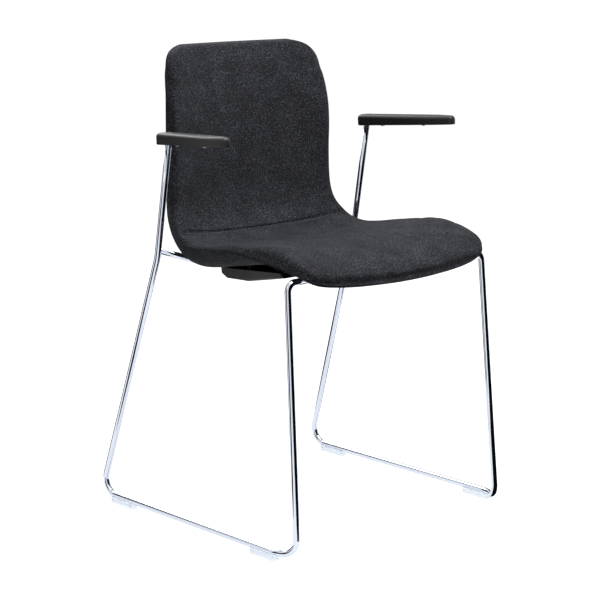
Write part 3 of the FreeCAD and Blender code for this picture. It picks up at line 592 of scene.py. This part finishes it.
# The row of poles, as a share of all, across which the columns are spaced
SPACED_ROW = 0.62
# Points of the fine lines on which lengths are measured
FINE_POINTS = 1500


class Shell:
    """Closed upholstered layer between an outer surface and the parting surface."""

    def __init__(self, kind, seam):
        outer = control_grid(kind)
        inner = control_grid(kind, filled=False)
        rows, columns = outer.shape[:2]
        dense_u = np.linspace(0, rows - 3, FINE_POINTS)
        dense_v = np.linspace(0, columns - 3, FINE_POINTS)
        middle = spline_weights(rows, dense_u) @ outer[:, columns // 2]
        seam_param = np.interp(SEAM_TRAVEL, middle[:, 3], dense_u)
        lengths = np.concatenate([[0.0], np.cumsum(np.linalg.norm(np.diff(middle[:, :3], axis=0), axis=1))])
        seam_length = np.interp(seam_param, dense_u, lengths)

        def along_step(s, total):
            rim = min(s, total - s)
            near = min(rim, abs(s - seam_length)) if seam else rim
            return min(CLOTH_STEP, SEAM_STEP + STEP_GROWTH * near)

        def across_step(s, total):
            return min(CLOTH_STEP, SEAM_STEP + STEP_GROWTH * min(s, total - s))

        crosswise = np.einsum("jk,ikd->ijd", spline_weights(columns, dense_v), outer)
        self.u, self.u_length = spaced_params(middle[:, :3], dense_u, along_step)
        spaced_row = crosswise[int(rows * SPACED_ROW)]
        self.v, self.v_length = spaced_params(spaced_row[:, :3], dense_v, across_step)
        row_weights = spline_weights(rows, self.u)
        column_weights = spline_weights(columns, self.v)
        self.outer = np.einsum("ai,bj,ijd->abd", row_weights, column_weights, outer)
        self.inner = np.einsum("ai,bj,ijd->abd", row_weights, column_weights, inner)
        for border, nearby in ((0, RIM_NEIGHBOUR), (-1, -1 - RIM_NEIGHBOUR)):
            rows_in = self.inner[nearby, :, :3] - self.inner[border, :, :3]
            rows_in /= np.linalg.norm(rows_in, axis=1, keepdims=True)
            columns_in = self.inner[:, nearby, :3] - self.inner[:, border, :3]
            columns_in /= np.linalg.norm(columns_in, axis=1, keepdims=True)
            self.outer[border, :, :3] += SEAM_TUCK * rows_in
            self.outer[:, border, :3] += SEAM_TUCK * columns_in
        self.seam_row = int(np.argmin(abs(self.outer[:, len(self.v) // 2, 3] - SEAM_TRAVEL)))

    def mesh(self, name):
        """Mesh of the layer with the cloth's own lengths as its UV map."""
        height, width = self.outer.shape[:2]
        mesh = bpy.data.meshes.new(name)
        points = np.concatenate([self.outer[..., :3].reshape(-1, 3), self.inner[..., :3].reshape(-1, 3)]) * MM
        index = np.arange(height * width).reshape(height, width)
        under = index + height * width
        under[0], under[-1] = index[0], index[-1]
        under[:, 0], under[:, -1] = index[:, 0], index[:, -1]
        faces = []
        for grid, flip in ((index, False), (under, True)):
            quads = np.stack([grid[:-1, :-1], grid[:-1, 1:], grid[1:, 1:], grid[1:, :-1]], axis=-1)
            quads = quads.reshape(-1, 4)
            faces += (quads[:, ::-1] if flip else quads).tolist()
        mesh.from_pydata(points.tolist(), [], faces)
        uv = mesh.uv_layers.new(name="cloth")
        loop_points = np.zeros(len(mesh.loops), dtype=np.int32)
        mesh.loops.foreach_get("vertex_index", loop_points)
        spot = loop_points % (height * width)
        flat = np.stack([self.v_length[spot % width], self.u_length[spot // width]], axis=-1) * MM
        uv.data.foreach_set("uv", flat.astype(np.float32).ravel())
        work = bmesh.new()
        work.from_mesh(mesh)
        loose = [v for v in work.verts if not v.link_faces]
        self.kept = [v.index for v in work.verts if v.link_faces]
        bmesh.ops.delete(work, geom=loose, context="VERTS")
        bmesh.ops.recalc_face_normals(work, faces=work.faces)
        for face in work.faces:
            face.smooth = True
        work.to_mesh(mesh)
        work.free()
        return mesh


PADDING = {
    "quality": 6, "mass": 0.3, "tension_stiffness": 12, "compression_stiffness": 12, "bending_stiffness": 1.5,
    "use_pressure": True, "uniform_pressure_force": 4.0,
}
PADDING_FRAMES = 20


def vertex_values(mesh, kind):
    """Points or normals of a mesh as rows of x, y and z."""
    flat = np.zeros(len(mesh.vertices) * 3, dtype=np.float32)
    mesh.vertices.foreach_get(kind, flat)
    return flat.reshape(-1, 3)


def puffed(piece, held, cap):
    """Padding under the cloth: a short pressure simulation, each point moved by the cap at most."""
    before = vertex_values(piece.data, "co")
    group = piece.vertex_groups.new(name="held")
    group.add(held, 1.0, "REPLACE")
    cloth = piece.modifiers.new("padding", "CLOTH")
    for key, value in PADDING.items():
        setattr(cloth.settings, key, value)
    cloth.settings.effector_weights.gravity = 0.0
    cloth.settings.vertex_group_mass = "held"
    cloth.point_cache.frame_start = 1
    cloth.point_cache.frame_end = PADDING_FRAMES
    for step in range(1, PADDING_FRAMES + 1):
        scene.frame_set(step)
    moved = piece.evaluated_get(bpy.context.evaluated_depsgraph_get()).to_mesh()
    shift = vertex_values(moved, "co") - before
    piece.modifiers.remove(cloth)
    piece.vertex_groups.remove(group)
    scene.frame_set(1)
    length = np.linalg.norm(shift, axis=1, keepdims=True)
    shift *= np.minimum(1.0, cap / np.maximum(length, 1e-9))
    piece.data.vertices.foreach_set("co", (before + shift).ravel())
    piece.data.update()


# Depths and reaches of the cloth's relief, in millimetres
INSET_REACH = 12.0
SEAM_END_FADE = 12.0
SEAM_HELD = 2.0
SEAM_GROOVE, SEAM_GROOVE_REACH = 2.6, 1.7
SEAM_DIP, SEAM_DIP_REACH = 0.9, 7.0
SEAM_PUCKER, SEAM_PUCKER_REACH, PUCKER_START = 1.3, 9.0, 1.5
RIM_PUCKER, RIM_PUCKER_REACH = 0.55, 12.0
LOOSENESS, LOOSENESS_REACH = 0.9, 25.0
# Noise frequencies per metre: puckers about 18 mm long and looseness about 60 mm
PUCKER_FREQUENCY = 55.0
LOOSENESS_FREQUENCY = 16.0
LOOSENESS_SHIFT = Vector((3.0, 1.0, 7.0))
FAR = 1e3


def upholstered(name, kind, seam, start_inset, cap, replaced):
    """Front or rear half of the upholstery with its padding, seams and puckers."""
    shell = Shell(kind, seam)
    mesh = shell.mesh(name)
    piece = finished(name, mesh, WOOL, replaced)
    height, width = shell.outer.shape[:2]
    kept = np.array(shell.kept)
    outer = kept < height * width
    row = np.where(outer, kept // width, -1)
    column = np.where(outer, kept % width, -1)
    rim = outer & ((row == 0) | (row == height - 1) | (column == 0) | (column == width - 1))
    free = outer & ~rim
    along = shell.u_length[np.maximum(row, 0)]
    across = shell.v_length[np.maximum(column, 0)]
    rim_distance = np.minimum(np.minimum(along, shell.u_length[-1] - along),
                              np.minimum(across, shell.v_length[-1] - across))
    seam_distance = np.where(outer, abs(along - shell.u_length[shell.seam_row]), FAR)
    side = abs(across - shell.v_length[-1] / 2)
    seam_share = np.clip((SEAM_HALF - side) / SEAM_END_FADE, 0.0, 1.0) if seam else np.zeros(len(kept))

    def push(amount):
        """Moves the outer points along their normals by amounts in millimetres."""
        shift = vertex_values(mesh, "normal") * (np.where(free, amount, 0.0) * MM)[:, None]
        mesh.vertices.foreach_set("co", (vertex_values(mesh, "co") + shift).astype(np.float32).ravel())
        mesh.update()

    push(-start_inset * np.clip(rim_distance / INSET_REACH, 0.0, 1.0))
    held = np.where(~free | ((seam_distance < SEAM_HELD) & (seam_share > 0.5)))[0]
    puffed(piece, held.tolist(), cap * MM)
    # The seams draw the cloth in, and it puckers a little along them
    spots = vertex_values(mesh, "co")
    ripple = np.array([noise.noise(Vector(p) * PUCKER_FREQUENCY) for p in spots])
    drift = np.array([noise.noise(Vector(p) * LOOSENESS_FREQUENCY + LOOSENESS_SHIFT) for p in spots])
    seam_pull = seam_share * (-SEAM_GROOVE * np.exp(-(seam_distance / SEAM_GROOVE_REACH) ** 2)
                              - SEAM_DIP * np.exp(-(seam_distance / SEAM_DIP_REACH) ** 2))
    puckers = seam_share * SEAM_PUCKER * ripple * np.exp(-seam_distance / SEAM_PUCKER_REACH)
    puckers *= seam_distance > PUCKER_START
    rim_puckers = RIM_PUCKER * ripple * np.exp(-rim_distance / RIM_PUCKER_REACH)
    loose = LOOSENESS * drift * np.clip(rim_distance / LOOSENESS_REACH, 0.0, 1.0)
    push(seam_pull + puckers + rim_puckers + loose)
    smooth = piece.modifiers.new("even_curves", "SUBSURF")
    smooth.levels = 1
    smooth.render_levels = 1
    return piece, shell, row, column


front_piece, front_shell, front_row, front_column = upholstered(
    "front_upholstery", "front", seam=True, start_inset=1.2, cap=2.2, replaced=["front_cover", "seat_foam"])
upholstered("rear_upholstery", "rear", seam=False, start_inset=0.8, cap=1.4,
            replaced=["rear_cover", "rear_foam"])


# Stitches along the cross seam

STITCH_SIZES = {"Stitch Length": 3.6 * MM, "Stitch Gap": 2.2 * MM, "Thread Radius": 0.35 * MM}
THREAD_LIFT = 0.25 * MM
# Mesh rows between the seam and its stitches, and the bare cloth at the seam's ends
STITCH_ROWS_BELOW = 2
STITCH_END_MARGIN = 6.0


def stitch_tree(name):
    """Geometry nodes that lay straight stitches along a curve."""
    tree = bpy.data.node_groups.new(name, "GeometryNodeTree")
    tree.interface.new_socket("Curve", in_out="INPUT", socket_type="NodeSocketGeometry")
    for label, value in STITCH_SIZES.items():
        socket = tree.interface.new_socket(label, in_out="INPUT", socket_type="NodeSocketFloat")
        socket.default_value = value
    tree.interface.new_socket("Stitches", in_out="OUTPUT", socket_type="NodeSocketGeometry")
    given = add(tree, "NodeGroupInput").outputs
    pitch = add(tree, "ShaderNodeMath", {0: given["Stitch Length"], 1: given["Stitch Gap"]}, operation="ADD")
    points = add(tree, "GeometryNodeCurveToPoints", {"Curve": given["Curve"], "Length": pitch}, mode="LENGTH")
    bar = add(tree, "GeometryNodeMeshCylinder", {
        "Vertices": 8, "Side Segments": 3, "Radius": given["Thread Radius"], "Depth": given["Stitch Length"]})
    lined = add(tree, "FunctionNodeAlignRotationToVector", {"Vector": points.outputs["Tangent"]}, axis="Z")
    laid = add(tree, "GeometryNodeInstanceOnPoints", {
        "Points": points.outputs["Points"], "Instance": bar.outputs["Mesh"],
        "Rotation": lined.outputs["Rotation"]})
    real = add(tree, "GeometryNodeRealizeInstances", {"Geometry": laid})
    shown = add(tree, "GeometryNodeSetMaterial", {"Geometry": real, "Material": THREAD})
    add(tree, "NodeGroupOutput", {"Stitches": shown})
    return tree


def curve_through(name, points):
    """Curve object of straight pieces through the points."""
    data = bpy.data.curves.new(name, "CURVE")
    data.dimensions = "3D"
    spline = data.splines.new("POLY")
    spline.points.add(len(points) - 1)
    for spot, point in zip(spline.points, points):
        spot.co = (*point, 1.0)
    piece = bpy.data.objects.new(name, data)
    scene.collection.objects.link(piece)
    return piece


def stitched(name, points):
    """Plain mesh of the stitches along a line, riding on the chair."""
    line = curve_through(f"{name}_line", points)
    modifier = line.modifiers.new("stitches", "NODES")
    tree = stitch_tree(f"{name}_pattern")
    modifier.node_group = tree
    for item in tree.interface.items_tree:
        if item.in_out == "INPUT" and item.name in STITCH_SIZES:
            modifier[item.identifier] = STITCH_SIZES[item.name]
    made = line.evaluated_get(bpy.context.evaluated_depsgraph_get())
    mesh = bpy.data.meshes.new_from_object(made)
    mesh.name = name
    bpy.data.objects.remove(line)
    for face in mesh.polygons:
        face.use_smooth = len(face.vertices) == 4
    return finished(name, mesh, THREAD)


stitch_row = front_shell.seam_row - STITCH_ROWS_BELOW
sideways = abs(front_shell.outer[stitch_row, np.maximum(front_column, 0), 0])
on_row = np.where((front_row == stitch_row) & (sideways < SEAM_HALF - STITCH_END_MARGIN))[0]
row_points = [front_piece.data.vertices[int(k)] for k in on_row]
stitched("seam_stitches_1", [point.co + point.normal * THREAD_LIFT for point in row_points])


# Studio: pale floor, soft lamps, and dark cards that only show as bands in the chrome

WHITE = (1.0, 1.0, 1.0, 1.0)
FILL_STRENGTH = 0.27
WALL_STRENGTH = 1.0
FLOOR_GLOW = 0.95
FLOOR_SHADOW = (0.30, 0.30, 0.30, 1.0)
FLOOR_HALF = 40.0


def backdrop_mask(tree):
    """One for rays from the camera, from mirrors and through clear plastic."""
    path = add(tree, "ShaderNodeLightPath").outputs
    seen = add(tree, "ShaderNodeMath", {0: path["Is Camera Ray"], 1: path["Is Glossy Ray"]},
               operation="MAXIMUM")
    return add(tree, "ShaderNodeMath", {0: seen, 1: path["Is Transmission Ray"]}, operation="MAXIMUM")


def stage_sheet(name, points, faces, material):
    """Flat sheet of the studio, which isn't part of the chair."""
    mesh = bpy.data.meshes.new(name)
    mesh.from_pydata(points, [], faces)
    mesh.materials.append(material)
    sheet = bpy.data.objects.new(name, mesh)
    scene.collection.objects.link(sheet)
    return sheet


world = bpy.data.worlds.new("studio")
scene.world = world
world.use_nodes = True
sky = world.node_tree
sky.nodes.clear()
soft_fill = add(sky, "ShaderNodeBackground", {"Color": linear("#F4F6F9"), "Strength": FILL_STRENGTH})
white_wall = add(sky, "ShaderNodeBackground", {"Color": WHITE, "Strength": WALL_STRENGTH})
surround = add(sky, "ShaderNodeMixShader", {0: backdrop_mask(sky), 1: soft_fill, 2: white_wall})
add(sky, "ShaderNodeOutputWorld", {"Surface": surround})

# Painted floor: matt grey to the chair, and white with the chair's shadow to the camera
FLOOR, floor_tree = new_material("painted_studio_floor")
matt = add(floor_tree, "ShaderNodeBsdfDiffuse", {"Color": linear("#A8A8A8")})
shadow_part = add(floor_tree, "ShaderNodeBsdfDiffuse", {"Color": FLOOR_SHADOW})
glow = add(floor_tree, "ShaderNodeEmission", {"Color": WHITE, "Strength": FLOOR_GLOW})
lifted = add(floor_tree, "ShaderNodeAddShader", {0: shadow_part, 1: glow})
painted = add(floor_tree, "ShaderNodeMixShader", {0: backdrop_mask(floor_tree), 1: matt, 2: lifted})
add(floor_tree, "ShaderNodeOutputMaterial", {"Surface": painted})
stage_sheet("floor", [(x * FLOOR_HALF, y * FLOOR_HALF, 0) for x, y in ((-1, -1), (1, -1), (1, 1), (-1, 1))],
            [(0, 1, 2, 3)], FLOOR)

LAMP_TARGET = (0.0, 0.0, 0.4)
# Each soft lamp as azimuth, elevation, distance, width, height and watts
LAMPS = {
    "top_softbox": (25.0, 74.0, 2.8, 2.2, 2.2, 86.0),
    "key_softbox": (30.0, 38.0, 3.2, 1.8, 1.6, 36.0),
    "rear_softbox": (170.0, 40.0, 3.0, 2.0, 1.6, 44.0),
    "near_softbox": (-80.0, 30.0, 3.4, 1.6, 1.6, 4.0),
}
for name, (azimuth, elevation, distance, width, height, power) in LAMPS.items():
    data = bpy.data.lights.new(name, "AREA")
    data.shape = "RECTANGLE"
    data.size = width
    data.size_y = height
    data.energy = power
    aimed(name, data, around(LAMP_TARGET, azimuth, elevation, distance), LAMP_TARGET)

CARD_INNER = 0.5
CARD_OUTER = 3.2
CARD_HEIGHT = 2.6
CARD_LIFT = 0.001
# Azimuth and half angle of each card
CARDS = ((-94.0, 16.0), (20.0, 54.0), (-168.0, 26.0), (118.0, 20.0))

# Black felt: it returns almost no light
CARD, card_tree = new_material("black_felt_card")
felt = add(card_tree, "ShaderNodeBsdfDiffuse", {"Color": linear("#0A0A0B")})
add(card_tree, "ShaderNodeOutputMaterial", {"Surface": felt})


def dark_card(name, azimuth, half_angle):
    """Card lying on the floor and bent up at its far end. Only mirrors see it, as a dark band."""
    points = []
    for side in (-1, 1):
        turn = math.radians(azimuth + side * half_angle)
        out = Vector((math.sin(turn), -math.cos(turn), 0.0))
        points += [out * CARD_INNER, out * CARD_OUTER, out * CARD_OUTER + Vector((0.0, 0.0, CARD_HEIGHT))]
    points = [p + Vector((0.0, 0.0, CARD_LIFT)) for p in points]
    card = stage_sheet(name, points, [(0, 1, 4, 3), (1, 2, 5, 4)], CARD)
    card.visible_camera = False
    card.visible_diffuse = False
    card.visible_shadow = False
    card.visible_transmission = False


for number, (azimuth, half_angle) in enumerate(CARDS):
    dark_card(f"dark_card_{number}", azimuth, half_angle)
